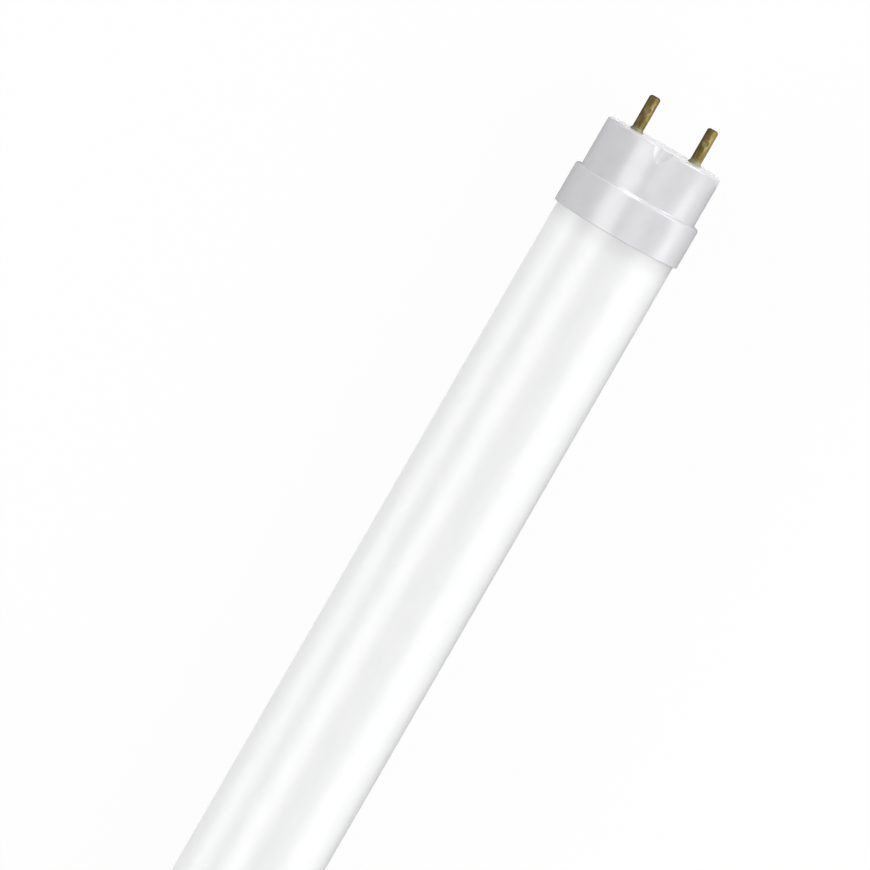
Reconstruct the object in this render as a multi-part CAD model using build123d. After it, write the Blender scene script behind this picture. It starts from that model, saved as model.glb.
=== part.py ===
"""LED tube lamp of the 26 mm class, 600 mm long, with a moulded two-pin cap at each end.

The tube lies along X with its axis on the origin, and +Z is the side that gives light. A frosted glass
tube holds an aluminium LED board, glued along its floor. Both ends wear the same moulded cap: a narrower
front, an end face with two brass pins 12.7 mm apart along Y, and a collar that is glued over the glass.
The cap at +X only links its two pins. The cap at -X feeds mains to the driver, a small board that rests
between rails in the cap and on a header that stands on the LED board. All lengths are in millimetres.
"""

from math import sqrt
import os

from build123d import *

# Lamp
body_length = 589.0            # end face to end face
cut_overrun = 1.0              # how far a cutting shape runs past what it cuts

# Glass tube
glass_diameter = 25.4
glass_wall = 0.8
glass_edge_round = 0.25        # fire-polished rims

# End cap
front_length = 10.5            # end face to the ledge
front_inset = 0.4              # the front's wall lies this far inside the glass's outside
front_wall = 1.5
face_wall = 1.6
shoulder_wall = 1.2            # the ledge's thickness, which stops the glass
collar_length = 8.5
collar_wall = 0.55
glue_gap = 0.15                # between the glass and the collar's bore
glass_stop_gap = 0.3           # between the glass's rim and the shoulder
face_round = 0.6
ledge_round = 0.6
ledge_root_round = 0.35
mouth_round = 0.2
boss_diameter = 5.0            # tubular bosses that guide the pins inside the cap
boss_length = 3.0
boss_web = 1.2
rail_thickness = 1.0           # rails that hold the driver board
rail_grip = 1.1                # how far a rail reaches over the board's edge
rail_gap = 0.1                 # between a rail and the board
rail_pin_gap = 0.5             # from the pins' tails to the rails over the board
notch_depth = 1.2              # scoop in the front's rim that marks the light side
notch_length = 2.5
notch_radius = 2.45
notch_round = 0.25

# Contact pins
pin_spacing = 12.7
pin_diameter = 2.3
pin_length = 7.5               # free length outside the end face
pin_bore = 1.4
pin_tip_wall = 1.0
pin_tip_round = 0.55
pin_fit = 0.02                 # radial gap between a pin and its hole in the cap
pin_tail = 2.0                 # stub behind the flange, where a wire enters
foot_diameter = 2.9            # swaged bead on the end face
foot_height = 0.6
flange_diameter = 3.4
flange_thickness = 0.5
crimp_height = 4.5             # centre of the crimp dent above the end face
crimp_depth = 0.2
crimp_radius = 1.0

# Glue rings between the caps and the glass
glue_setback = 0.5             # from the collar's mouth to the glue
glue_end_gap = 0.5             # from the glue to the glass's rim

# LED board and its glue bed
led_board_width = 10.0
led_board_thickness = 1.0
led_board_end_gap = 4.5        # from the glass's rim to the board's end
led_board_lift = 0.05          # between the board's lower edges and the glass
led_glue_width = 8.0

# LED packages
led_length = 3.5
led_width = 2.8
led_height = 0.75
led_pitch = 11.5
led_margin = 5.0               # least distance from the board's end to the first package's centre
led_rim = 0.3                  # wall round the phosphor
led_pocket_depth = 0.4
led_pocket_round = 0.5

# Driver board
driver_board_thickness = 1.0
driver_side_gap = 1.1          # from the board's long edges to the sleeve
driver_floor_gap = 1.3         # from the tallest part under the board to the sleeve's floor
driver_board_gap = 0.4         # from the cap's end wall to the board
driver_edge_margin = 0.7       # from the board's long edges to the parts on it
driver_end_margin = 0.5
part_gap = 1.6                 # between neighbours along the board
leg_diameter = 0.6
leg_hole_gap = 0.1
leg_stickout = 1.0             # below the board
leg_run = 1.3                  # from a lying part's end to its bend
solder_diameter = 1.8
solder_tip_diameter = 0.9
solder_height = 0.7

# Mains leads and link wire
lead_diameter = 1.3
lead_core_diameter = 0.8
lead_reach = 9.0               # from the pin's tail to where the lead drops
lead_sag = 0.8
lead_bend_share = 0.9          # how much of its drop to the board a lead spends in its bend
lead_strip_gap = 0.3           # bare core above the board
core_end_gap = 1.0             # from the bore's blind end to the core
link_reach = 3.2               # from the pins' tails to the link wire's cross run
link_bend = 2.6

# Parts on the driver board
fuse_diameter = 3.0
fuse_length = 8.0
fuse_band = 1.6
fuse_waist = 0.2
varistor_diameter = 7.0
varistor_thickness = 3.4
varistor_round = 0.8
varistor_leg_span = 5.0
varistor_lift = 0.4
film_length = 10.0
film_width = 5.0
film_height = 9.0
film_round = 0.4
film_leg_span = 7.5
bus_diameter = 8.0
bus_length = 13.0
bus_leg_span = 3.5
bus_lift = 0.2
can_round = 0.4
can_groove = 0.35
can_groove_offset = 1.8
can_score = 0.25
can_score_width = 0.3
coil_flange_diameter = 9.0
coil_height = 9.0
coil_flange = 1.3
coil_core_diameter = 4.0
coil_winding_gap = 0.4         # from the winding to the flange's edge
coil_leg_span = 5.0
output_diameter = 6.3
output_height = 9.0
output_leg_span = 2.5
rectifier_size = (4.7, 3.9, 1.5)
chip_size = (4.9, 3.9, 1.5)
diode_size = (4.3, 2.6, 2.1)
gull_width = 0.5
gull_thickness = 0.25
gull_reach = 1.0
gull_pitch = 1.27
rectifier_gull_pitch = 2.54
smd_standoff = 0.1
resistor_size = (2.0, 1.25, 0.5)
resistor_pitch = 3.2
resistor_count = 5
terminal_length = 0.35

# Header between the boards
header_length = 5.08
header_width = 2.5
header_pin_width = 0.64
header_pin_pitch = 2.54
header_pin_gap = 0.08
header_stickout = 0.8
header_led_gap = 0.55

# Insulating sleeve round the driver
sleeve_wall = 0.35
sleeve_glass_gap = 0.25
sleeve_led_gap = 0.3
sleeve_header_gap = 0.4

# Places that follow from the sizes above
half_body = body_length / 2
cap_length = front_length + collar_length
glass_outer = glass_diameter / 2
glass_inner = glass_outer - glass_wall
bore_radius = glass_outer + glue_gap
collar_radius = bore_radius + collar_wall
front_radius = glass_outer - front_inset
cavity_radius = front_radius - front_wall
glass_setback = front_length + shoulder_wall + glass_stop_gap
glass_length = body_length - 2 * glass_setback
pin_radius = pin_diameter / 2
boss_end = face_wall + boss_length
tail_end = boss_end + flange_thickness + pin_tail
board_bottom = -sqrt(glass_inner**2 - (led_board_width / 2) ** 2) + led_board_lift
board_top = board_bottom + led_board_thickness
led_top = board_top + led_height
led_board_length = glass_length - 2 * led_board_end_gap
sleeve_outer = glass_inner - sleeve_glass_gap
sleeve_inner = sleeve_outer - sleeve_wall
sleeve_floor = led_top + sleeve_led_gap
deepest_part = max(diode_size[2], smd_standoff + chip_size[2], smd_standoff + rectifier_size[2], leg_stickout)
driver_bottom = sleeve_floor + sleeve_wall + driver_floor_gap + deepest_part
driver_top = driver_bottom + driver_board_thickness
driver_half_width = sqrt(sleeve_inner**2 - driver_bottom**2) - driver_side_gap
leg_end = driver_bottom - leg_stickout

# Layout along the driver board, as depths from the end face
lead_depth = tail_end + lead_reach
fuse_depth = lead_depth + part_gap + leg_run + fuse_length / 2
varistor_depth = fuse_depth
row_depth = fuse_depth + max(fuse_length / 2 + leg_run, varistor_diameter / 2) + part_gap
bus_depth = row_depth + leg_run + bus_length / 2
film_depth = row_depth + part_gap + film_length / 2
coil_row_start = max(bus_depth + bus_length / 2, film_depth + film_length / 2) + part_gap / 2
coil_depth = coil_row_start + coil_flange_diameter / 2

# Layout across the driver board
part_edge = driver_half_width - driver_edge_margin
fuse_y = -(part_edge - fuse_diameter / 2)
varistor_y = part_edge - varistor_thickness / 2
film_y = -(part_edge - film_width / 2)
bus_y = part_edge - bus_diameter / 2
coil_y = -(part_edge - coil_flange_diameter / 2)
output_y = part_edge - output_diameter / 2
header_y = led_width / 2 + header_led_gap + header_width / 2

# The output capacitor stands beside the inductor, or behind it where the board is too narrow for both
coil_output_distance = (coil_flange_diameter + output_diameter) / 2 + part_gap / 2
output_shift = sqrt(max(0, coil_output_distance**2 - (output_y - coil_y) ** 2))
output_depth = coil_depth + output_shift
coil_row_end = max(coil_depth + coil_flange_diameter / 2, output_depth + output_diameter / 2)
header_start = coil_row_end + part_gap / 2
header_depth = header_start + header_length / 2
driver_end = header_start + header_length + driver_end_margin
driver_start = face_wall + driver_board_gap


def driver_x(depth):
    """The X of a place that lies this deep behind the driver end's face."""
    return -half_body + depth


def at_link_end(shape):
    """Puts a shape, drawn with the end face at x = 0 and outward along +X, at the +X end."""
    return Pos(half_body, 0, 0) * shape


def at_driver_end(shape):
    """The same at the -X end, turned about Z so that +Z stays the light side."""
    return Rot(0, 0, 180) * at_link_end(shape)


def rod_along_x(radius, start, end, y=0.0, z=0.0):
    """A round bar from x = start to x = end."""
    return Pos((start + end) / 2, y, z) * Rot(0, 90, 0) * Cylinder(radius, end - start)


def upright(radius, low, high, x=0.0, y=0.0):
    """A round bar along Z from low to high."""
    return Pos(x, y, (low + high) / 2) * Cylinder(radius, high - low)


def block(low, high):
    """A box between two opposite corners."""
    size = [b - a for a, b in zip(low, high)]
    middle = [(a + b) / 2 for a, b in zip(low, high)]
    return Pos(*middle) * Box(*size)


def corner_of(face, x, y):
    """The corner of a flat face that is nearest to a point."""
    return face.vertices().sort_by_distance((x, y, 0))[0]


def turned(points, rounds=()):
    """A solid turned about X from an outline in x and radius. Each round is (x, radius, size)."""
    section = make_face(Polyline(*points, close=True))
    for x, radius, size in rounds:
        section = fillet(corner_of(section, x, radius), size)
    return revolve(section, Axis.X)


def glass_tube():
    """Straight tube with fire-polished rims, held by the two caps."""
    end = glass_length / 2
    corners = [(end, glass_outer), (end, glass_inner), (-end, glass_inner), (-end, glass_outer)]
    rounds = [(x, radius, glass_edge_round) for x, radius in corners]
    return turned(corners, rounds)


def cap_shell():
    """The cap's turned form: closed front, ledge that stops the glass, and thin collar."""
    shoulder = -(front_length + shoulder_wall)
    outline = [
        (0, 0),
        (0, front_radius),
        (-front_length, front_radius),
        (-front_length, collar_radius),
        (-cap_length, collar_radius),
        (-cap_length, bore_radius),
        (shoulder, bore_radius),
        (shoulder, cavity_radius),
        (-face_wall, cavity_radius),
        (-face_wall, 0),
    ]
    rounds = [
        (0, front_radius, face_round),
        (-front_length, front_radius, ledge_root_round),
        (-front_length, collar_radius, ledge_round),
        (-cap_length, collar_radius, mouth_round),
    ]
    return turned(outline, rounds)


def cap_rails():
    """Rails on the front's inner wall for the driver board's long edges: a full one under the board on
    each side, and a short one over it, behind the pins."""
    reach = driver_half_width - rail_grip
    outer = cavity_radius + cut_overrun
    start = -(front_length + shoulder_wall)
    over, under = driver_top + rail_gap, driver_bottom - rail_gap - rail_thickness
    rails = []
    for low, end in ((over, -(tail_end + rail_pin_gap)), (under, -face_wall)):
        for side in (-1, 1):
            near, far = sorted((side * reach, side * outer))
            rails.append(block((start, near, low), (end, far, low + rail_thickness)))
    wall_middle = cavity_radius + front_wall / 2
    return Part() + rails & rod_along_x(wall_middle, start, 0)


def notch_cutter():
    """A leaning round bar that scoops the rim on the light side and runs out along the front."""
    axis_height = front_radius + notch_radius
    lean = (-notch_length, 0, notch_depth)
    origin = (0, 0, axis_height - notch_depth)
    return Plane(origin=origin, z_dir=lean) * Cylinder(notch_radius, 3 * notch_length)


def notched_shell():
    """The shell with the scoop, whose edges are rounded as a moulding's are."""
    shell = cap_shell() - notch_cutter()
    scoop = shell.faces().filter_by(GeomType.CYLINDER).sort_by(Axis.Z)[-1]
    return fillet(scoop.edges(), notch_round)


def end_cap():
    """One moulding: notched shell, pin bosses joined by a web, and board rails."""
    hole = pin_radius + pin_fit
    cap = notched_shell() + cap_rails()
    half_spacing = pin_spacing / 2
    for side in (-1, 1):
        cap += rod_along_x(boss_diameter / 2, -boss_end, -face_wall / 2, side * half_spacing)
    cap += block((-boss_end, -half_spacing, -boss_web / 2), (-face_wall / 2, half_spacing, boss_web / 2))
    for side in (-1, 1):
        cap -= rod_along_x(hole, -boss_end - cut_overrun, cut_overrun, side * half_spacing)
    return cap


def contact_pin(side):
    """Hollow brass pin: bored stub, flange inside the cap, bead on the face, rounded closed tip."""
    flange_start = -(boss_end + flange_thickness)
    outline = [
        (-tail_end, pin_bore / 2),
        (-tail_end, pin_radius),
        (flange_start, pin_radius),
        (flange_start, flange_diameter / 2),
        (-boss_end, flange_diameter / 2),
        (-boss_end, pin_radius),
        (0, pin_radius),
        (0, foot_diameter / 2),
        (foot_height, pin_radius),
        (pin_length, pin_radius),
        (pin_length, 0),
        (pin_length - pin_tip_wall, 0),
        (pin_length - pin_tip_wall, pin_bore / 2),
    ]
    pin = turned(outline, [(pin_length, pin_radius, pin_tip_round)])
    dent_height = pin_radius - crimp_depth + crimp_radius
    dent = Pos(crimp_height, 0, dent_height) * Rot(90, 0, 0) * Cylinder(crimp_radius, pin_diameter)
    return Pos(0, side * pin_spacing / 2, 0) * (pin - dent)


def cap_glue():
    """Ring of glue between the glass and the collar."""
    start = -(cap_length - glue_setback)
    end = -(glass_setback + glue_end_gap)
    return rod_along_x(bore_radius, start, end) - rod_along_x(glass_outer, start, end)


def led_board():
    """Aluminium-core strip that lies on the tube's floor."""
    half = led_board_length / 2
    side = led_board_width / 2
    return block((-half, -side, board_bottom), (half, side, board_top))


def led_board_glue():
    """Glue that fills the hollow between the flat board and the round glass."""
    half = led_board_length / 2
    side = led_glue_width / 2
    bed = block((-half, -side, -glass_inner - cut_overrun), (half, side, board_bottom))
    return bed & rod_along_x(glass_inner, -half, half)


def led_places():
    """The X of each LED package, evenly spaced about the middle."""
    room = led_board_length - 2 * led_margin
    count = int(room // led_pitch) + 1
    first = -(count - 1) * led_pitch / 2
    return [first + i * led_pitch for i in range(count)]


def led_fill():
    """The phosphor that fills a package's pocket, drawn on the board's top at the origin."""
    low = led_height - led_pocket_depth
    outline = Rectangle(led_length - 2 * led_rim, led_width - 2 * led_rim)
    outline = fillet(outline.vertices(), led_pocket_round)
    return Pos(0, 0, low) * extrude(outline, led_pocket_depth)


def led_package():
    """The package's white body with its pocket."""
    body = block((-led_length / 2, -led_width / 2, 0), (led_length / 2, led_width / 2, led_height))
    return body - led_fill()


def along_board(shape):
    """Copies of a shape at every LED place."""
    return [Pos(x, 0, board_top) * shape for x in led_places()]


def lead_core_start():
    """How deep behind the end face a wire's core ends inside the hollow pin."""
    return -(pin_length - pin_tip_wall - core_end_gap)


def mains_lead(side):
    """Insulated lead from a pin's tail, sagging slightly, then down through the driver board."""
    drop_x = driver_x(lead_depth)
    y = side * pin_spacing / 2
    strip_z = driver_top + lead_strip_gap
    start = (driver_x(tail_end), y, 0)
    points = [start, (drop_x, y, -lead_sag), (drop_x, y, strip_z)]
    path = FilletPolyline(*points, radius=lead_bend_share * (-lead_sag - strip_z))
    section = Plane(origin=start, z_dir=path % 0) * Circle(lead_diameter / 2)
    lead = sweep(section, path)
    core = lead_core_diameter / 2
    lead += rod_along_x(core, driver_x(lead_core_start()), driver_x(tail_end) + lead_diameter / 2, y)
    return lead + upright(core, leg_end, strip_z + cut_overrun / 2, drop_x, y)


def link_wire():
    """Bare wire that joins the two pins of the link end."""
    reach = tail_end + link_reach
    inner = -lead_core_start()
    half = pin_spacing / 2
    points = [(inner, half, 0), (-reach, half, 0), (-reach, -half, 0), (inner, -half, 0)]
    path = FilletPolyline(*points, radius=link_bend)
    section = Plane(origin=points[0], z_dir=path % 0) * Circle(lead_core_diameter / 2)
    return sweep(section, path)


def leg_points():
    """Depth and Y of every wire leg that goes through the driver board."""
    fuse_half = fuse_length / 2 + leg_run
    bus_leg = bus_depth - bus_length / 2 - leg_run
    points = {
        "leads": [(lead_depth, side * pin_spacing / 2) for side in (-1, 1)],
        "fuse": [(fuse_depth + end * fuse_half, fuse_y) for end in (-1, 1)],
        "varistor": pair_along(varistor_depth, varistor_y, varistor_leg_span),
        "film": pair_along(film_depth, film_y, film_leg_span),
        "bus": [(bus_leg, bus_y + side * bus_leg_span / 2) for side in (-1, 1)],
        "coil": pair_along(coil_depth, coil_y, coil_leg_span),
        "output": pair_along(output_depth, output_y, output_leg_span),
    }
    return points


def pair_along(depth, y, span):
    """Two places a span apart along the board, centred on a depth."""
    return [(depth + end * span / 2, y) for end in (-1, 1)]


def header_places():
    """Depth and Y of the header's pins."""
    return pair_along(header_depth, header_y, header_pin_pitch)


def driver_board():
    """The driver's circuit board with a hole for each leg and header pin."""
    side = driver_half_width
    low = (driver_x(driver_start), -side, driver_bottom)
    high = (driver_x(driver_end), side, driver_top)
    board = block(low, high)
    bottom, top = driver_bottom - cut_overrun, driver_top + cut_overrun
    for name, places in leg_points().items():
        wire = lead_core_diameter if name == "leads" else leg_diameter
        for depth, y in places:
            board -= upright(wire / 2 + leg_hole_gap, bottom, top, driver_x(depth), y)
    slot = header_pin_width / 2 + header_pin_gap
    for depth, y in header_places():
        x = driver_x(depth)
        board -= block((x - slot, y - slot, bottom), (x + slot, y + slot, top))
    return board


def solder_joints():
    """A solder cone under the driver board at each leg."""
    cones = []
    for name, places in leg_points().items():
        wire = lead_core_diameter if name == "leads" else leg_diameter
        for depth, y in places:
            middle = driver_bottom - solder_height / 2
            cone = Cone(solder_tip_diameter / 2, solder_diameter / 2, solder_height)
            joint = Pos(driver_x(depth), y, middle) * cone
            joint -= upright(wire / 2, leg_end - cut_overrun, driver_top, driver_x(depth), y)
            cones.append(joint)
    return cones


def standing_legs(name, top):
    """The straight legs of an upright part, up to the part's underside."""
    return [upright(leg_diameter / 2, leg_end, top, driver_x(d), y) for d, y in leg_points()[name]]


def lying_leg(start_x, leg_x, y, z):
    """A leg that leaves a lying part along X and bends down through the board."""
    points = [(start_x, y, z), (leg_x, y, z), (leg_x, y, leg_end)]
    bend = 0.45 * abs(leg_x - start_x)
    path = FilletPolyline(*points, radius=bend)
    section = Plane(origin=points[0], z_dir=path % 0) * Circle(leg_diameter / 2)
    return sweep(section, path)


def input_fuse():
    """Fusible resistor, lying along the board, with raised end bands."""
    half = fuse_length / 2
    radius = fuse_diameter / 2
    band = half - fuse_band
    waist = radius - fuse_waist
    outline = [(-half, 0), (-half, radius), (-band, radius), (-band, waist)]
    outline += [(band, waist), (band, radius), (half, radius), (half, 0)]
    rounds = [(end * half, radius, fuse_waist) for end in (-1, 1)]
    z = driver_top + radius + fuse_waist
    x = driver_x(fuse_depth)
    body = Pos(x, fuse_y, z) * turned(outline, rounds)
    for (depth, y), end in zip(leg_points()["fuse"], (-1, 1)):
        body += lying_leg(x + end * (half - fuse_waist), driver_x(depth), y, z)
    return body


def varistor():
    """Surge disc that stands on its edge."""
    radius = varistor_diameter / 2
    z = driver_top + varistor_lift + radius
    disc = Rot(90, 0, 0) * Cylinder(radius, varistor_thickness)
    disc = fillet(disc.edges().filter_by(GeomType.CIRCLE), varistor_round)
    body = Pos(driver_x(varistor_depth), varistor_y, z) * disc
    return body + standing_legs("varistor", z)


def film_capacitor():
    """Moulded box with softened edges."""
    box = Box(film_length, film_width, film_height)
    box = fillet(box.edges(), film_round)
    body = Pos(driver_x(film_depth), film_y, driver_top + film_height / 2) * box
    return body + standing_legs("film", driver_top + film_height / 2)


def electrolytic_can(diameter, length):
    """Aluminium can along +X from its rubber end, with a crimp groove and a scored vent."""
    radius = diameter / 2
    groove_low = can_groove_offset - can_groove
    groove_high = can_groove_offset + can_groove
    outline = [(0, 0), (0, radius), (groove_low, radius), (can_groove_offset, radius - can_groove)]
    outline += [(groove_high, radius), (length, radius), (length, 0)]
    rounds = [(0, radius, can_round), (length, radius, can_round)]
    can = turned(outline, rounds)
    reach = radius - 2 * can_round
    half = can_score_width / 2
    for wide, high in ((reach, half), (half, reach)):
        can -= block((length - can_score, -wide, -high), (length + cut_overrun, wide, high))
    return can


def bus_capacitor():
    """High-voltage electrolytic, lying on the board."""
    z = driver_top + bus_lift + bus_diameter / 2
    start = driver_x(bus_depth - bus_length / 2)
    body = Pos(start, bus_y, z) * electrolytic_can(bus_diameter, bus_length)
    for depth, y in leg_points()["bus"]:
        body += lying_leg(start + can_round, driver_x(depth), y, z)
    return body


def output_capacitor():
    """Electrolytic on the LED side of the driver, standing."""
    can = Rot(0, -90, 0) * electrolytic_can(output_diameter, output_height)
    body = Pos(driver_x(output_depth), output_y, driver_top) * can
    return body + standing_legs("output", driver_top + can_round)


def inductor_core():
    """Ferrite drum on two legs."""
    radius = coil_flange_diameter / 2
    waist = coil_core_diameter / 2
    top = coil_height - coil_flange
    outline = [(0, 0), (0, radius), (coil_flange, radius), (coil_flange, waist)]
    outline += [(top, waist), (top, radius), (coil_height, radius), (coil_height, 0)]
    drum = Rot(0, -90, 0) * turned(outline)
    body = Pos(driver_x(coil_depth), coil_y, driver_top) * drum
    return body + standing_legs("coil", driver_top + coil_flange / 2)


def inductor_winding():
    """Enamelled wire that fills the drum's waist."""
    low = driver_top + coil_flange
    high = driver_top + coil_height - coil_flange
    place = (driver_x(coil_depth), coil_y)
    outside = coil_flange_diameter / 2 - coil_winding_gap
    return upright(outside, low, high, *place) - upright(coil_core_diameter / 2, low, high, *place)


def flat_package(size, depth, y, gulls, pitch):
    """A moulded part under the driver board, with formed leads along both long sides."""
    length, width, height = size
    top = driver_bottom - smd_standoff
    x = driver_x(depth)
    body = block((x - length / 2, y - width / 2, top - height), (x + length / 2, y + width / 2, top))
    foot_low = driver_bottom - gull_thickness
    knee_low = top - height / 2 - gull_thickness / 2
    for i in range(gulls):
        gull_x = x + (i - (gulls - 1) / 2) * pitch
        left, right = gull_x - gull_width / 2, gull_x + gull_width / 2
        for side in (-1, 1):
            edge = y + side * width / 2
            knee = edge + side * (gull_reach / 2)
            toe = edge + side * gull_reach
            near, far = sorted((edge - side * gull_thickness, knee))
            body += block((left, near, knee_low), (right, far, knee_low + gull_thickness))
            near, far = sorted((knee - side * gull_thickness, knee))
            body += block((left, near, knee_low), (right, far, driver_bottom))
            near, far = sorted((knee - side * gull_thickness, toe))
            body += block((left, near, foot_low), (right, far, driver_bottom))
    return body


def bridge_rectifier():
    """Four-legged rectifier between the varistor and the fuse."""
    return flat_package(rectifier_size, fuse_depth, 0, 2, rectifier_gull_pitch)


def driver_chip():
    """Eight-legged control chip."""
    return flat_package(chip_size, film_depth, 0, 4, gull_pitch)


def output_diode():
    """Two-terminal diode whose tabs fold under its ends."""
    length, width, height = diode_size
    x = driver_x(film_depth + chip_size[0] / 2 + part_gap + length / 2)
    low, high = driver_bottom - height, driver_bottom
    body = block((x - length / 2, -width / 2, low), (x + length / 2, width / 2, high - smd_standoff))
    for end in (-1, 1):
        near, far = sorted((x + end * length / 2, x + end * (length / 2 + terminal_length)))
        body += block((near, -width / 4, (low + high) / 2), (far, width / 4, high))
    return body


def chip_resistors():
    """A row of chip resistors under the driver board."""
    length, width, height = resistor_size
    y = part_edge - width / 2 - solder_diameter / 2
    first = row_depth + solder_diameter / 2 + part_gap / 2 + length / 2
    resistors = []
    for i in range(resistor_count):
        x = driver_x(first + i * resistor_pitch)
        body = block((x - length / 2, y - width / 2, driver_bottom - height),
                     (x + length / 2, y + width / 2, driver_bottom))
        resistors.append(body)
    return resistors


def header_pins():
    """Square pins that join the LED board to the driver board."""
    half = header_pin_width / 2
    top = driver_top + header_stickout
    pins = []
    for depth, y in header_places():
        x = driver_x(depth)
        pins.append(block((x - half, y - half, board_top), (x + half, y + half, top)))
    return pins


def board_header():
    """Plastic block that stands on the LED board and carries the driver board's inner end."""
    x = driver_x(header_depth)
    low = (x - header_length / 2, header_y - header_width / 2, board_top)
    high = (x + header_length / 2, header_y + header_width / 2, driver_bottom)
    body = block(low, high)
    slot = header_pin_width / 2 + header_pin_gap
    for depth, y in header_places():
        pin_x = driver_x(depth)
        body -= block((pin_x - slot, y - slot, board_top - cut_overrun),
                      (pin_x + slot, y + slot, driver_bottom + cut_overrun))
    return body


def driver_sleeve():
    """Insulating tube with a flat floor, between the driver and the LEDs under it."""
    start = driver_x(glass_setback)
    end = driver_x(header_start - sleeve_header_gap)

    def d_bar(radius, low):
        bar = rod_along_x(radius, start, end)
        return bar & block((start, -radius, low), (end, radius, radius))

    return d_bar(sleeve_outer, sleeve_floor) - d_bar(sleeve_inner, sleeve_floor + sleeve_wall)


def save(name, shape):
    """Writes one node, whose shape is one solid or a list of separate ones."""
    solids = shape if isinstance(shape, list) else shape.solids()
    export_step(Compound(children=list(solids)), f"parts/{name}.step")


os.makedirs("parts", exist_ok=True)

save("glass_tube", glass_tube())
save("link_end_cap", at_link_end(end_cap()))
save("driver_end_cap", at_driver_end(end_cap()))
save("link_end_glue", at_link_end(cap_glue()))
save("driver_end_glue", at_driver_end(cap_glue()))
save("link_pin_left", at_link_end(contact_pin(1)))
save("link_pin_right", at_link_end(contact_pin(-1)))
save("live_pin", at_driver_end(contact_pin(1)))
save("neutral_pin", at_driver_end(contact_pin(-1)))
save("link_wire", at_link_end(link_wire()))

save("led_board", led_board())
save("led_board_glue", led_board_glue())
save("led_packages", along_board(led_package()))
save("led_phosphors", along_board(led_fill()))

save("driver_board", driver_board())
save("live_lead", mains_lead(-1))
save("neutral_lead", mains_lead(1))
save("solder_joints", solder_joints())
save("input_fuse", input_fuse())
save("varistor", varistor())
save("film_capacitor", film_capacitor())
save("bus_capacitor", bus_capacitor())
save("inductor_core", inductor_core())
save("inductor_winding", inductor_winding())
save("output_capacitor", output_capacitor())
save("bridge_rectifier", bridge_rectifier())
save("driver_chip", driver_chip())
save("output_diode", output_diode())
save("chip_resistors", chip_resistors())
save("board_header", board_header())
save("header_pins", header_pins())
save("driver_sleeve", driver_sleeve())
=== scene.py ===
"""Studio picture of the LED tube: finishes for all its pieces, a white table, soft lamps and the camera.

The tube lies along X with the lit side up. The camera looks down on the cap at +X, from just beyond its
end face, and is rolled so that the tube climbs to the right. Everything is in metres.
"""

import math

import bmesh
import bpy
from mathutils import Matrix, Vector


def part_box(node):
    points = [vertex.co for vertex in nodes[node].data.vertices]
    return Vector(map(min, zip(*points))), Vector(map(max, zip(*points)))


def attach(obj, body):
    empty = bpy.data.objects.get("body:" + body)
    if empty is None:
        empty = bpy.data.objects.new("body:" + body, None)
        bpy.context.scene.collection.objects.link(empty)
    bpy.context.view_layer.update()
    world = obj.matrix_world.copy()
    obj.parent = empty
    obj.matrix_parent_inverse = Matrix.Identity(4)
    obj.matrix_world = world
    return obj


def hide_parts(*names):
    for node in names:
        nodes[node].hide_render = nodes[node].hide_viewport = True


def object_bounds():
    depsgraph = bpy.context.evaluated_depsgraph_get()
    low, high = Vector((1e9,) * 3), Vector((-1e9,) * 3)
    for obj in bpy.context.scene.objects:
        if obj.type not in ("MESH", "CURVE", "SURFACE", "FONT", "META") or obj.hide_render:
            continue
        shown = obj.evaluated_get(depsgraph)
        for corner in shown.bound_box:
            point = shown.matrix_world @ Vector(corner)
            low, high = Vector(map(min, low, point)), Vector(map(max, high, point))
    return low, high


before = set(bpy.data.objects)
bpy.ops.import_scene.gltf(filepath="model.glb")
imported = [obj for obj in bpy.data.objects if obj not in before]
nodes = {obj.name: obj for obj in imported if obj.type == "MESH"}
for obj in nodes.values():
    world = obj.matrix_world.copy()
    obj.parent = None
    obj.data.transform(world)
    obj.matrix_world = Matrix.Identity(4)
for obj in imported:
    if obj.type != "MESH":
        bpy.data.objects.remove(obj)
cad_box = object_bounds()

MM = 0.001
WHITE = (1.0, 1.0, 1.0, 1.0)
CAPS = ("link_end_cap", "driver_end_cap")
PINS = ("link_pin_left", "link_pin_right", "live_pin", "neutral_pin")

# Photograph
FRAME_PIXELS = 870                   # its width and its height
END_FACE_PIXEL = (665.3, 147.5)      # centre of the end face
PIXELS_PER_MM = 5.25                 # the pins, 12.7 mm apart, and the glass, 25.4 mm thick, give the scale
TUBE_SLOPE = math.radians(60.02)     # the tube's climb above the picture's lower edge
END_VIEW_TILT = math.radians(2.0)    # how far beyond the end face the camera stands, seen from it

# Camera
LENS_MM = 400.0                      # long, because the photograph has almost no perspective
SENSOR_MM = 36.0

# Table and background
TABLE_HALF = 14.0                    # half the sheet's side, so that its edge is far off
SHEET_WHITE = "#F7F7F7"              # the sheet that the camera sees
SHEET_BOUNCE = "#7A7A7A"             # the duller sheet that lights the tube's underside and draws its edges
PLAIN_SHARE = 0.95                   # how much of the white the camera sees is plain, with no shadow in it
NEAR_SHEET = 25 * MM                 # gloss sees the sheet as it is lit up to here, and as plain white
FAR_SHEET = 60 * MM                  # from here on

# Glass tube
GLASS_WALL = 0.8 * MM
GLASS_RIM_ROUND = 0.25 * MM
GLASS_FACETS = 288                   # round the tube
GLASS_RINGS = 36                     # along it
GLASS_RIM_STEPS = 5                  # in each rounded edge of its rims
# Painted shade: near each collar the glass's colour is painted greyer, standing in for the cap's shadow
CAP_PAINTED_SHADE_REACH = 4.5 * MM           # how far beyond a collar the glass still looks greyer

# Pins
PIN_RADIUS = 1.15 * MM
CRIMP_HEIGHT = 4.5 * MM              # the crimp dent's middle, above the end face
CRIMP_HIGHLIGHT_REACH = 1.1 * MM               # how far from there the painted highlight reaches
FOOT_REACH = 1.4 * MM                # how far up the pin its foot is dull

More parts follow.
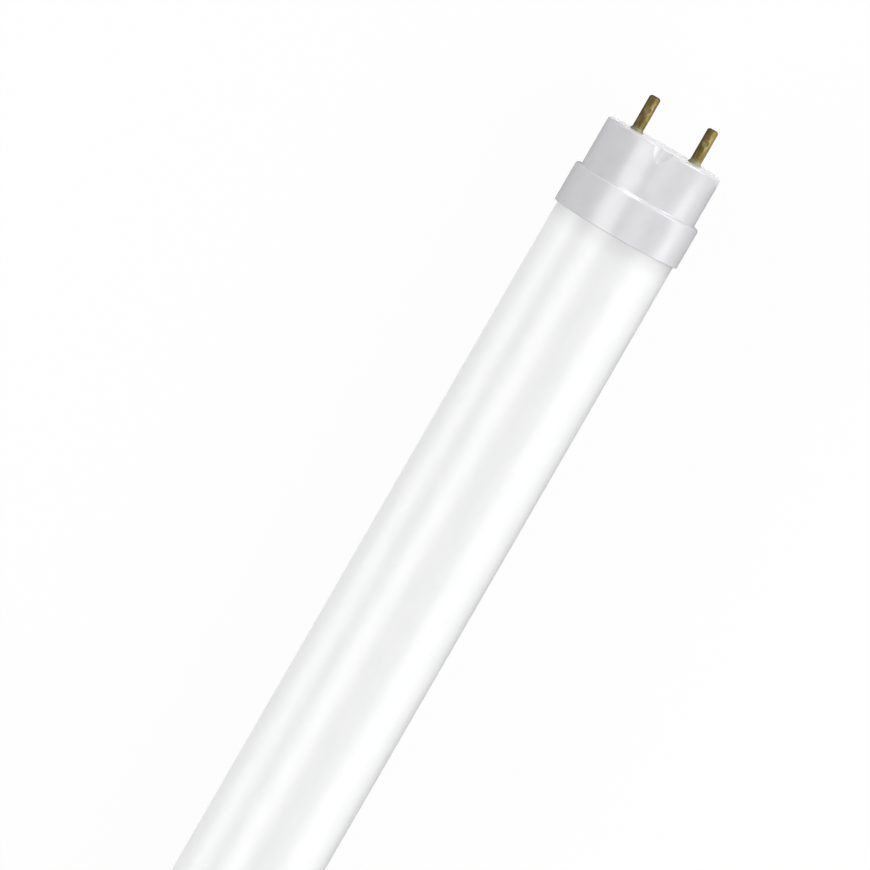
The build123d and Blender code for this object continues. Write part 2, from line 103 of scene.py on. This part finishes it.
# Lamps beside the tube: angle from straight up towards the picture's left, width as an angle, radiance,
# and what they light: all but the gloss ("soft"), or only the gloss of the pieces named
LAMP_DISTANCE = 0.75
LAMP_LENGTH = 1.5
LAMP_SETBACK = LAMP_LENGTH / 4       # from the end face to the lamps' middles
LAMPS = {
    "right_panel": (-58.0, 62.0, 1.5, "soft"),
    "left_low_panel": (61.0, 18.0, 3.5, "soft"),
    "cap_shine_strip": (28.5, 37.0, 4.1, "caps"),
    "cap_right_strip": (-20.0, 30.0, 1.3, "caps"),
    "glass_shine_strip": (26.0, 34.0, 3.2, "glass"),
    "glass_left_strip": (84.0, 22.0, 3.6, "glass"),
    "glass_right_strip": (-64.0, 30.0, 2.25, "glass"),
}
SKY = 0.4

# White cards near the tube, seen only in gloss: centre in mm (beyond the end face, to the picture's left,
# above the sheet), size in mm, the way they face, radiance, and the pieces that show them
LONG_CARD = 1500                     # as long as the lamps
LONG_MIDDLE = -368
CARDS = {
    "right_card": ((LONG_MIDDLE, -80, 13), (LONG_CARD, 26), (0, 1, 0), 1.2, "white pieces"),
    "collar_card": ((-54, -30, 24.5), (100, 9), (0, 1, 0), 2.5, "caps"),
    "left_card": ((LONG_MIDDLE, 80, 9), (LONG_CARD, 18), (0, -1, 0), 2.2, "glass"),
    "left_flat_card": ((LONG_MIDDLE, 37, 0.5), (LONG_CARD, 44), (0, 0, 1), 0.8, "glass"),
    "cap_left_flat_card": ((LONG_MIDDLE, 37, 0.5), (LONG_CARD, 44), (0, 0, 1), 0.35, "caps"),
    "end_flat_card": ((26, 0, 0.5), (56, 90), (0, 0, 1), 0.8, "caps"),
    "end_card": ((158, 18, 58), (64, 116), (-1, 0, 0), 17.0, "caps"),
    "end_right_card": ((108, -125, 60), (130, 120), (-1, 1.2, 0), 4.0, "caps"),
    "pin_right_card": ((12, -60, 50), (200, 90), (0, 0.8, -0.6), 2.4, "pins"),
    "pin_flat_card": ((8, -45, 0.5), (200, 60), (0, 0, 1), 1.6, "pins"),
}

# Lamps beyond both ends, low over the table and turned to the end face: place from its centre, radiance,
# and what they light, as above
END_LAMP_SIZE = (0.9, 0.17)
END_LAMPS = {
    "end_panel": ((0.75, 0.0, 0.075), 4.5, "soft"),
    "end_right_panel": ((0.6, -0.45, 0.075), 3.5, "soft"),
    "far_end_panel": ((-1.34, 0.0, 0.075), 4.5, "soft"),
}


def linear(hex_colour):
    """An sRGB hex colour as the linear values that a shader takes."""
    channels = [int(hex_colour[i:i + 2], 16) / 255 for i in (1, 3, 5)]
    return tuple(c / 12.92 if c <= 0.04045 else ((c + 0.055) / 1.055) ** 2.4 for c in channels) + (1.0,)


def add(tree, kind, links=None, values=None, **settings):
    """Adds one node. links maps its input sockets to outputs, and values to plain values."""
    made = tree.nodes.new(kind)
    for name, value in settings.items():
        setattr(made, name, value)
    for socket, value in (values or {}).items():
        made.inputs[socket].default_value = value
    for socket, output in (links or {}).items():
        tree.links.new(output, made.inputs[socket])
    return made


def finish_of(name, colour, **sockets):
    """A material with one Principled shader. Returns the material, its tree and the shader."""
    material = bpy.data.materials.new(name)
    material.use_nodes = True
    tree = material.node_tree
    tree.nodes.clear()
    shader = add(tree, "ShaderNodeBsdfPrincipled", values={"Base Color": linear(colour), **sockets})
    output = add(tree, "ShaderNodeOutputMaterial")
    tree.links.new(shader.outputs["BSDF"], output.inputs["Surface"])
    material.diffuse_color = linear(colour)
    return material, tree, shader


def stretched(tree, sizes):
    """Coordinates in which a pattern's unit is the given size in millimetres along X, Y and Z."""
    place = add(tree, "ShaderNodeTexCoord")
    scale = [1.0 / (size * MM) for size in sizes]
    return add(tree, "ShaderNodeMapping", {"Vector": place.outputs["Object"]}, {"Scale": scale}).outputs[0]


def mottled(tree, sizes, dark, light, low=0.35, high=0.65, detail=3.0):
    """A colour that drifts between two, in patches of the given size in millimetres."""
    values = {"Scale": 1.0, "Detail": detail, "Roughness": 0.55}
    noise = add(tree, "ShaderNodeTexNoise", {"Vector": stretched(tree, sizes)}, values)
    ramp = add(tree, "ShaderNodeValToRGB", {"Fac": noise.outputs["Fac"]})
    ramp.color_ramp.elements[0].position = low
    ramp.color_ramp.elements[1].position = high
    ramp.color_ramp.elements[0].color = linear(dark)
    ramp.color_ramp.elements[1].color = linear(light)
    return ramp.outputs["Color"]


def skin(tree, shader, sizes, depth_mm, detail=2.0):
    """The fine bumps of a surface, of the given size and depth in millimetres."""
    values = {"Scale": 1.0, "Detail": detail, "Roughness": 0.6}
    noise = add(tree, "ShaderNodeTexNoise", {"Vector": stretched(tree, sizes)}, values)
    bumps = add(tree, "ShaderNodeBump", {"Height": noise.outputs["Fac"]}, {"Distance": depth_mm * MM})
    tree.links.new(bumps.outputs["Normal"], shader.inputs["Normal"])


def collar_mouth():
    """How far the open rims of the caps' collars are from the tube's middle."""
    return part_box("link_end_cap")[0].x


def frosted_soda_glass():
    """Drawn soda-lime glass, powder-frosted inside: even milky white under a clear glossy skin, with long
    faint draw lines. Close to a collar its colour is painted greyer: painted shade for the cap inside,
    which keeps light from its wall."""
    material, tree, shader = finish_of(
        "frosted_soda_glass", "#EAEBEB", **{"Roughness": 0.6, "IOR": 1.5, "Coat Weight": 1.0,
                                            "Coat Roughness": 0.32, "Coat IOR": 1.5})
    # The powder's own grains are too fine to show: these are its patches, drawn out along the tube
    powder = mottled(tree, (9.0, 3.0, 3.0), "#E6E7E7", "#EAEAEA")
    place = add(tree, "ShaderNodeTexCoord")
    along = add(tree, "ShaderNodeSeparateXYZ", {"Vector": place.outputs["Object"]}).outputs["X"]
    from_middle = add(tree, "ShaderNodeMath", {0: along}, operation="ABSOLUTE").outputs[0]
    collar = collar_mouth()
    # Painted shade: the colour turns to the greyer tone over the last few millimetres before each collar
    shade = add(tree, "ShaderNodeMapRange", {"Value": from_middle},
                {"From Min": collar - CAP_PAINTED_SHADE_REACH, "From Max": collar}, interpolation_type="SMOOTHSTEP")
    tone = add(tree, "ShaderNodeMix", {"Factor": shade.outputs["Result"], "A": powder}, data_type="RGBA")
    tone.inputs["B"].default_value = linear("#D9D9D9")
    tree.links.new(tone.outputs["Result"], shader.inputs["Base Color"])
    skin(tree, shader, (60.0, 1.6, 1.6), 0.01)
    return material


def moulded_polycarbonate():
    """White polycarbonate from a lightly blasted mould: cool pale grey and satin, with soft highlights."""
    material, tree, shader = finish_of(
        "moulded_polycarbonate", "#D1D0D3", **{"Roughness": 0.26, "IOR": 1.58})
    resin = mottled(tree, (5.0, 4.0, 4.0), "#CFCED1", "#D3D2D5")
    tree.links.new(resin, shader.inputs["Base Color"])
    # The blasted mould's pits are about 0.05 mm wide: drawn coarser, or they would not show
    skin(tree, shader, (0.35, 0.35, 0.35), 0.002)
    return material


def crimp_highlight_and_foot(tree):
    """1 in a pin's crimp dent, where its paler colour is a painted highlight, and 1 at its foot, where
    nothing rubs it.
    """
    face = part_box("link_end_cap")[1].x
    low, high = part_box("link_pin_left")
    crimp = Vector((face + CRIMP_HEIGHT, abs(low.y + high.y) / 2, PIN_RADIUS))
    place = add(tree, "ShaderNodeNewGeometry").outputs["Position"]
    folded = add(tree, "ShaderNodeVectorMath", {0: place}, operation="ABSOLUTE").outputs[0]
    off = add(tree, "ShaderNodeVectorMath", {0: folded}, {1: crimp}, operation="DISTANCE").outputs["Value"]
    crimp_highlight = add(tree, "ShaderNodeMapRange", {"Value": off},
                  {"From Min": CRIMP_HIGHLIGHT_REACH, "From Max": CRIMP_HIGHLIGHT_REACH / 2}, interpolation_type="SMOOTHSTEP")
    along = add(tree, "ShaderNodeSeparateXYZ", {"Vector": folded}).outputs["X"]
    sheltered = add(tree, "ShaderNodeMapRange", {"Value": along},
                    {"From Min": face + FOOT_REACH, "From Max": face}, interpolation_type="SMOOTHSTEP")
    return crimp_highlight.outputs["Result"], sheltered.outputs["Result"]


def drawn_brass():
    """Drawn brass pins, tumbled and tarnished: olive and brown along the drawing lines, dull in patches,
    paler in the crimp dent as a painted highlight, and grey-green at the foot."""
    material, tree, shader = finish_of("drawn_brass", "#665730", **{"Metallic": 1.0, "Roughness": 0.36})
    tone = mottled(tree, (2.6, 0.45, 0.45), "#524423", "#7C6E44", 0.35, 0.68, 4.0)
    crimp_highlight, sheltered = crimp_highlight_and_foot(tree)
    # The crimp dent's paler colour is a painted highlight
    for share, colour in ((crimp_highlight, "#7A7048"), (sheltered, "#8F8F76")):
        mix = add(tree, "ShaderNodeMix", {"Factor": share, "A": tone}, data_type="RGBA")
        mix.inputs["B"].default_value = linear(colour)
        tone = mix.outputs["Result"]
    tree.links.new(tone, shader.inputs["Base Color"])
    patches = add(tree, "ShaderNodeTexNoise", {"Vector": stretched(tree, (1.4, 0.5, 0.5))},
                  {"Scale": 1.0, "Detail": 4.0, "Roughness": 0.6})
    worn = add(tree, "ShaderNodeMapRange", {"Value": patches.outputs["Fac"]},
               {"To Min": 0.28, "To Max": 0.5})
    dull = add(tree, "ShaderNodeMath", {0: sheltered, 2: worn.outputs["Result"]}, {1: 0.3},
               operation="MULTIPLY_ADD")
    tree.links.new(dull.outputs[0], shader.inputs["Roughness"])
    # The drawing lines are a few hundredths of a millimetre apart: drawn coarser, or they would not show
    skin(tree, shader, (3.0, 0.12, 0.12), 0.012, 3.0)
    return material


def cured_silicone(name, colour):
    """Silicone adhesive: dull, slightly lumpy where it was squeezed out."""
    material, tree, shader = finish_of(name, colour, **{"Roughness": 0.45, "IOR": 1.41})
    skin(tree, shader, (1.8, 1.8, 1.8), 0.06)
    return material


def white_solder_mask():
    """Aluminium board under white solder mask: bright, satin, with the tracks just raised under it."""
    material, tree, shader = finish_of("white_solder_mask", "#F1F1EC", **{"Roughness": 0.38, "IOR": 1.55})
    tone = mottled(tree, (12.0, 4.0, 4.0), "#EEEEE9", "#F4F4F0")
    tree.links.new(tone, shader.inputs["Base Color"])
    # Two tracks to each 11.5 mm, the way from one LED to the next
    place = stretched(tree, (11.5, 3.4, 3.4))
    tracks = add(tree, "ShaderNodeTexBrick", {"Vector": place}, {"Scale": 1.0, "Mortar Size": 0.06})
    bumps = add(tree, "ShaderNodeBump", {"Height": tracks.outputs["Fac"]}, {"Distance": 0.035 * MM})
    tree.links.new(bumps.outputs["Normal"], shader.inputs["Normal"])
    return material


def green_solder_mask():
    """Glass-fibre laminate under green solder mask: dark green with lighter tracks and a fine weave."""
    material, tree, shader = finish_of("green_solder_mask", "#1E5A38", **{"Roughness": 0.32, "IOR": 1.55})
    place = stretched(tree, (6.0, 2.0, 2.0))
    tracks = add(tree, "ShaderNodeTexBrick", {"Vector": place},
                 {"Scale": 1.0, "Mortar Size": 0.12, "Color1": linear("#2A7A4C"),
                  "Color2": linear("#246C43"), "Mortar": linear("#174A2E")})
    tree.links.new(tracks.outputs["Color"], shader.inputs["Base Color"])
    # The cloth's threads are 0.5 mm apart
    weave = add(tree, "ShaderNodeTexChecker", {"Vector": stretched(tree, (0.5, 0.5, 0.5))}, {"Scale": 1.0})
    bumps = add(tree, "ShaderNodeBump", {"Height": weave.outputs["Fac"]}, {"Distance": 0.008 * MM})
    tree.links.new(bumps.outputs["Normal"], shader.inputs["Normal"])
    return material


def moulded(name, colour, shade, roughness, grit_mm, depth_mm):
    """A small moulded or dipped part: one colour that drifts a little, and a fine grit in its skin."""
    material, tree, shader = finish_of(name, colour, **{"Roughness": roughness, "IOR": 1.5})
    tree.links.new(mottled(tree, (2.5, 2.5, 2.5), shade, colour), shader.inputs["Base Color"])
    skin(tree, shader, (grit_mm,) * 3, depth_mm)
    return material


def metal(name, colour, shade, roughness, along_mm, across_mm):
    """A bare metal with lines or a drift along X."""
    material, tree, shader = finish_of(name, colour, **{"Metallic": 1.0, "Roughness": roughness})
    tone = mottled(tree, (along_mm, across_mm, across_mm), shade, colour)
    tree.links.new(tone, shader.inputs["Base Color"])
    skin(tree, shader, (along_mm, across_mm / 3, across_mm / 3), 0.01)
    return material


def dress(node, material):
    """Gives every slot of a node's object one finish."""
    slots = nodes[node].data.materials
    slots.clear()
    slots.append(material)


def smooth(mesh_object):
    """Smooth shading all over."""
    mesh = mesh_object.data
    mesh.polygons.foreach_set("use_smooth", [True] * len(mesh.polygons))
    mesh.update()


def lathe(name, outline, facets):
    """A closed ring-shaped mesh, turned about X from an outline of (x, radius) points in order."""
    mesh = bmesh.new()
    rings = []
    for i in range(facets):
        turn = 2 * math.pi * i / facets
        c, s = math.cos(turn), math.sin(turn)
        rings.append([mesh.verts.new((x, r * c, r * s)) for x, r in outline])
    count = len(outline)
    for i in range(facets):
        here, there = rings[i], rings[(i + 1) % facets]
        for j in range(count):
            k = (j + 1) % count
            mesh.faces.new((here[j], here[k], there[k], there[j]))
    bmesh.ops.recalc_face_normals(mesh, faces=mesh.faces)
    data = bpy.data.meshes.new(name)
    mesh.to_mesh(data)
    mesh.free()
    made = bpy.data.objects.new(name, data)
    bpy.context.scene.collection.objects.link(made)
    smooth(made)
    return made


def rim_points(x, inner, outer, side):
    """The rounded rim of the tube at x, from the outside to the inside, as seen at the +X end."""
    points = []
    for corner, start in ((outer - GLASS_RIM_ROUND, 90), (inner + GLASS_RIM_ROUND, 0)):
        for i in range(GLASS_RIM_STEPS + 1):
            turn = math.radians(start - 90 * i / GLASS_RIM_STEPS)
            along = GLASS_RIM_ROUND * (math.cos(turn) - 1)
            points.append((side * (x + along), corner + GLASS_RIM_ROUND * math.sin(turn)))
    return points


def frosted_tube():
    """The glass tube, finer than the frame's, with the same section and length."""
    low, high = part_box("glass_tube")
    outer = (high.y - low.y) / 2
    inner = outer - GLASS_WALL
    right = rim_points(high.x, inner, outer, 1)
    left = rim_points(-low.x, inner, outer, -1)
    left.reverse()
    span = [(-1 + 2 * i / GLASS_RINGS) * (high.x - GLASS_RIM_ROUND) for i in range(1, GLASS_RINGS)]
    outline = right + [(x, inner) for x in reversed(span)] + left + [(x, outer) for x in span]
    tube = lathe("frosted_tube", outline, GLASS_FACETS)
    tube.data.materials.append(frosted_soda_glass())
    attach(tube, "root")
    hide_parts("glass_tube")
    return tube


def dress_caps_and_pins():
    """The pieces that show beside the glass."""
    polycarbonate = moulded_polycarbonate()
    brass = drawn_brass()
    for cap in CAPS:
        dress(cap, polycarbonate)
    for pin in PINS:
        dress(pin, brass)


def dress_inside():
    """The pieces inside the glass."""
    # Cured adhesives: off-white and slightly lumpy
    cap_glue = cured_silicone("cap_adhesive", "#E9E7DE")
    dress("link_end_glue", cap_glue)
    dress("driver_end_glue", cap_glue)
    dress("led_board_glue", cured_silicone("board_adhesive", "#E4E4E0"))

    dress("led_board", white_solder_mask())
    dress("driver_board", green_solder_mask())

    # Moulded resin bodies: white reflector cups, and yellow phosphor in clear silicone
    dress("led_packages", moulded("white_package_resin", "#F3F0E6", "#EAE6DA", 0.42, 0.3, 0.004))
    dress("led_phosphors", moulded("phosphor_silicone", "#F0CF4A", "#E6BE36", 0.35, 0.12, 0.01))

    # Extruded lead insulation: smooth and slightly waxy
    dress("live_lead", moulded("black_insulation", "#151515", "#101010", 0.4, 0.8, 0.006))
    dress("neutral_lead", moulded("white_insulation", "#E8E8E4", "#DEDEDA", 0.4, 0.8, 0.006))

    # Dipped and moulded parts of the driver
    dress("input_fuse", moulded("fuse_lacquer", "#5C8A55", "#4E7A49", 0.38, 0.5, 0.02))
    dress("varistor", moulded("varistor_dip", "#2C57A8", "#264C95", 0.3, 0.9, 0.03))
    dress("film_capacitor", moulded("film_case_resin", "#D9B23C", "#CFA633", 0.35, 0.4, 0.006))
    chip_epoxy = moulded("chip_epoxy", "#1B1B1C", "#141414", 0.55, 0.1, 0.004)
    for node in ("bridge_rectifier", "driver_chip", "output_diode"):
        dress(node, chip_epoxy)
    dress("chip_resistors", moulded("resistor_glaze", "#19191C", "#121214", 0.3, 0.2, 0.003))
    dress("board_header", moulded("header_nylon", "#1C1C1C", "#151515", 0.5, 0.3, 0.006))
    dress("inductor_core", moulded("sintered_ferrite", "#2C2B2A", "#242322", 0.6, 0.15, 0.01))
    dress("driver_sleeve", moulded("polyester_sleeve", "#EDEDEB", "#E6E6E4", 0.25, 2.0, 0.02))

    # Printed film shrunk on aluminium cans: dark and glossy
    can_film = moulded("capacitor_film", "#20242E", "#1A1D26", 0.28, 1.2, 0.01)
    dress("bus_capacitor", can_film)
    dress("output_capacitor", can_film)

    # Bare and plated metals
    dress("link_wire", metal("tinned_copper", "#C9C6C0", "#B5B1AA", 0.3, 2.0, 0.4))
    dress("solder_joints", metal("reflowed_solder", "#C4C4C0", "#ABABA7", 0.25, 0.6, 0.6))
    dress("header_pins", metal("gold_flash", "#D8B866", "#C8A654", 0.3, 0.5, 0.5))
    dress("inductor_winding", winding_wire())


def winding_wire():
    """Enamelled copper wire, wound in tight turns: red-brown and glossy, ribbed at every turn."""
    material, tree, shader = finish_of(
        "enamelled_copper", "#B06A34", **{"Metallic": 0.7, "Roughness": 0.28})
    # The wave draws about three ribs in its unit, so the turns lie 0.57 mm apart
    turns = add(tree, "ShaderNodeTexWave", {"Vector": stretched(tree, (1.8, 1.8, 1.8))}, {"Scale": 1.0},
                bands_direction="Z")
    bumps = add(tree, "ShaderNodeBump", {"Height": turns.outputs["Fac"]}, {"Distance": 0.1 * MM})
    tree.links.new(bumps.outputs["Normal"], shader.inputs["Normal"])
    return material


def background_rays(tree):
    """1 for the rays that see the plain white background: the camera's, glass's, and gloss's far off."""
    path = add(tree, "ShaderNodeLightPath")
    far = add(tree, "ShaderNodeMapRange", {"Value": path.outputs["Ray Length"]},
              {"From Min": NEAR_SHEET, "From Max": FAR_SHEET})
    gloss = add(tree, "ShaderNodeMath", {0: path.outputs["Is Glossy Ray"], 1: far.outputs["Result"]},
                operation="MULTIPLY")
    glass = path.outputs["Is Transmission Ray"]
    both = add(tree, "ShaderNodeMath", {0: gloss.outputs[0], 1: glass}, operation="MAXIMUM")
    return add(tree, "ShaderNodeMath", {0: both.outputs[0], 1: path.outputs["Is Camera Ray"]},
               operation="MAXIMUM").outputs[0]


def table():
    """A large white sheet that the tube lies on. It keeps the tube's soft shadow."""
    top = cad_box[0].z
    mesh = bpy.data.meshes.new("table_sheet")
    h = TABLE_HALF
    mesh.from_pydata([(-h, -h, top), (h, -h, top), (h, h, top), (-h, h, top)], [], [(0, 1, 2, 3)])
    sheet = bpy.data.objects.new("table_sheet", mesh)
    bpy.context.scene.collection.objects.link(sheet)
    material = bpy.data.materials.new("white_paper")
    material.use_nodes = True
    tree = material.node_tree
    tree.nodes.clear()
    output = add(tree, "ShaderNodeOutputMaterial")
    path = add(tree, "ShaderNodeLightPath")
    tone = add(tree, "ShaderNodeMix", {"Factor": path.outputs["Is Camera Ray"]}, data_type="RGBA")
    tone.inputs["A"].default_value = linear(SHEET_BOUNCE)
    tone.inputs["B"].default_value = linear(SHEET_WHITE)
    paper = add(tree, "ShaderNodeBsdfDiffuse", {"Color": tone.outputs["Result"]})
    share = add(tree, "ShaderNodeMath", {0: background_rays(tree)}, {1: PLAIN_SHARE}, operation="MULTIPLY")
    white = add(tree, "ShaderNodeEmission", values={"Color": WHITE, "Strength": 1.0})
    both = add(tree, "ShaderNodeMixShader", {0: share.outputs[0], 1: paper.outputs[0], 2: white.outputs[0]})
    tree.links.new(both.outputs[0], output.inputs["Surface"])
    mesh.materials.append(material)


def sky():
    """An even sky: the lamps' fill, and plain white behind the table."""
    world = bpy.data.worlds.new("white_sky")
    bpy.context.scene.world = world
    world.use_nodes = True
    tree = world.node_tree
    tree.nodes.clear()
    output = add(tree, "ShaderNodeOutputWorld")
    fill = add(tree, "ShaderNodeBackground", values={"Color": WHITE, "Strength": SKY})
    white = add(tree, "ShaderNodeBackground", values={"Color": WHITE, "Strength": 1.0})
    both = add(tree, "ShaderNodeMixShader",
               {0: background_rays(tree), 1: fill.outputs[0], 2: white.outputs[0]})
    tree.links.new(both.outputs[0], output.inputs["Surface"])


def lamp(name, place, target, size, radiance):
    """A soft rectangular lamp whose face has the given radiance. Its long side is level, and runs along the
    tube unless the lamp faces that way."""
    light = bpy.data.lights.new(name, "AREA")
    light.shape = "RECTANGLE"
    light.size, light.size_y = size
    # A flat lamp gives off pi times its radiance from each square metre
    light.energy = radiance * size[0] * size[1] * math.pi
    made = bpy.data.objects.new(name, light)
    bpy.context.scene.collection.objects.link(made)
    made.location = place
    away = (Vector(place) - Vector(target)).normalized()
    side = Vector((1, 0, 0)) if abs(away.x) < 0.5 else Vector((0, 1, 0))
    up = away.cross(side).normalized()
    made.rotation_mode = "QUATERNION"
    made.rotation_quaternion = rotation_from(up.cross(away), up, away)
    made.visible_camera = False
    return made


def rotation_from(right, up, back):
    """The rotation whose axes are these three directions."""
    return Matrix((right, up, back)).transposed().to_quaternion()


def light_only(light, pieces):
    """Keeps a lamp to "soft" light that shows in no gloss, or to the gloss of a list of pieces."""
    light.visible_glossy = pieces != "soft"
    if isinstance(pieces, list):
        light.visible_diffuse = False
        light.light_linking.receiver_collection = bpy.data.collections.new(light.name + "_pieces")
        for piece in pieces:
            light.light_linking.receiver_collection.objects.link(piece)


def lamps(glass):
    """Long soft strips and white cards beside the tube, and panels beyond both its ends."""
    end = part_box("link_end_cap")[1].x
    middle = end - LAMP_SETBACK
    caps = [nodes[cap] for cap in CAPS]
    pieces = {"soft": "soft", "glass": [glass], "caps": caps, "white pieces": [glass] + caps,
              "pins": [nodes[pin] for pin in PINS]}
    for name, (angle, span, radiance, lights) in LAMPS.items():
        turn = math.radians(angle)
        place = (middle, LAMP_DISTANCE * math.sin(turn), LAMP_DISTANCE * math.cos(turn))
        width = 2 * LAMP_DISTANCE * math.tan(math.radians(span / 2))
        light_only(lamp(name, place, (middle, 0, 0), (LAMP_LENGTH, width), radiance), pieces[lights])
    for name, (centre, size, facing, radiance, lights) in CARDS.items():
        place = Vector((end, 0, cad_box[0].z)) + Vector(centre) * MM
        card = lamp(name, place, place + Vector(facing), [side * MM for side in size], radiance)
        light_only(card, pieces[lights])
    for name, (beyond, radiance, lights) in END_LAMPS.items():
        place = Vector((end, 0, 0)) + Vector(beyond)
        light_only(lamp(name, place, (end, 0, 0), END_LAMP_SIZE, radiance), pieces[lights])


def camera():
    """Places the camera so that the end face, the tube's slope and its scale are where the photograph has
    them. right_off, up_off and along_off say how far the end face's centre is off the picture's centre."""
    half_view = SENSOR_MM / 2 / LENS_MM
    per_pixel = half_view / (FRAME_PIXELS / 2)
    distance = MM / PIXELS_PER_MM / per_pixel
    right_off = (END_FACE_PIXEL[0] - FRAME_PIXELS / 2) * per_pixel
    up_off = (FRAME_PIXELS / 2 - END_FACE_PIXEL[1]) * per_pixel
    along_off = math.atan(right_off * math.cos(TUBE_SLOPE) + up_off * math.sin(TUBE_SLOPE))
    tilt = END_VIEW_TILT + along_off

    def tilted(x, y, z):
        """A direction of the level picture, turned about Y to the camera's tilt."""
        return Vector((x * math.cos(tilt) + z * math.sin(tilt), y, z * math.cos(tilt) - x * math.sin(tilt)))

    right = tilted(math.cos(TUBE_SLOPE), -math.sin(TUBE_SLOPE), 0)
    up = tilted(math.sin(TUBE_SLOPE), math.cos(TUBE_SLOPE), 0)
    back = tilted(0, 0, 1)
    end_face = Vector((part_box("link_end_cap")[1].x, 0, 0))
    place = end_face - distance * (right * right_off + up * up_off - back)
    data = bpy.data.cameras.new("camera")
    data.lens = LENS_MM
    data.sensor_width = SENSOR_MM
    made = bpy.data.objects.new("camera", data)
    bpy.context.scene.collection.objects.link(made)
    made.location = place
    made.rotation_mode = "QUATERNION"
    made.rotation_quaternion = rotation_from(right, up, back)
    bpy.context.scene.camera = made


glass = frosted_tube()
dress_caps_and_pins()
dress_inside()
table()
sky()
lamps(glass)
camera()
bpy.context.scene.view_settings.view_transform = "Standard"
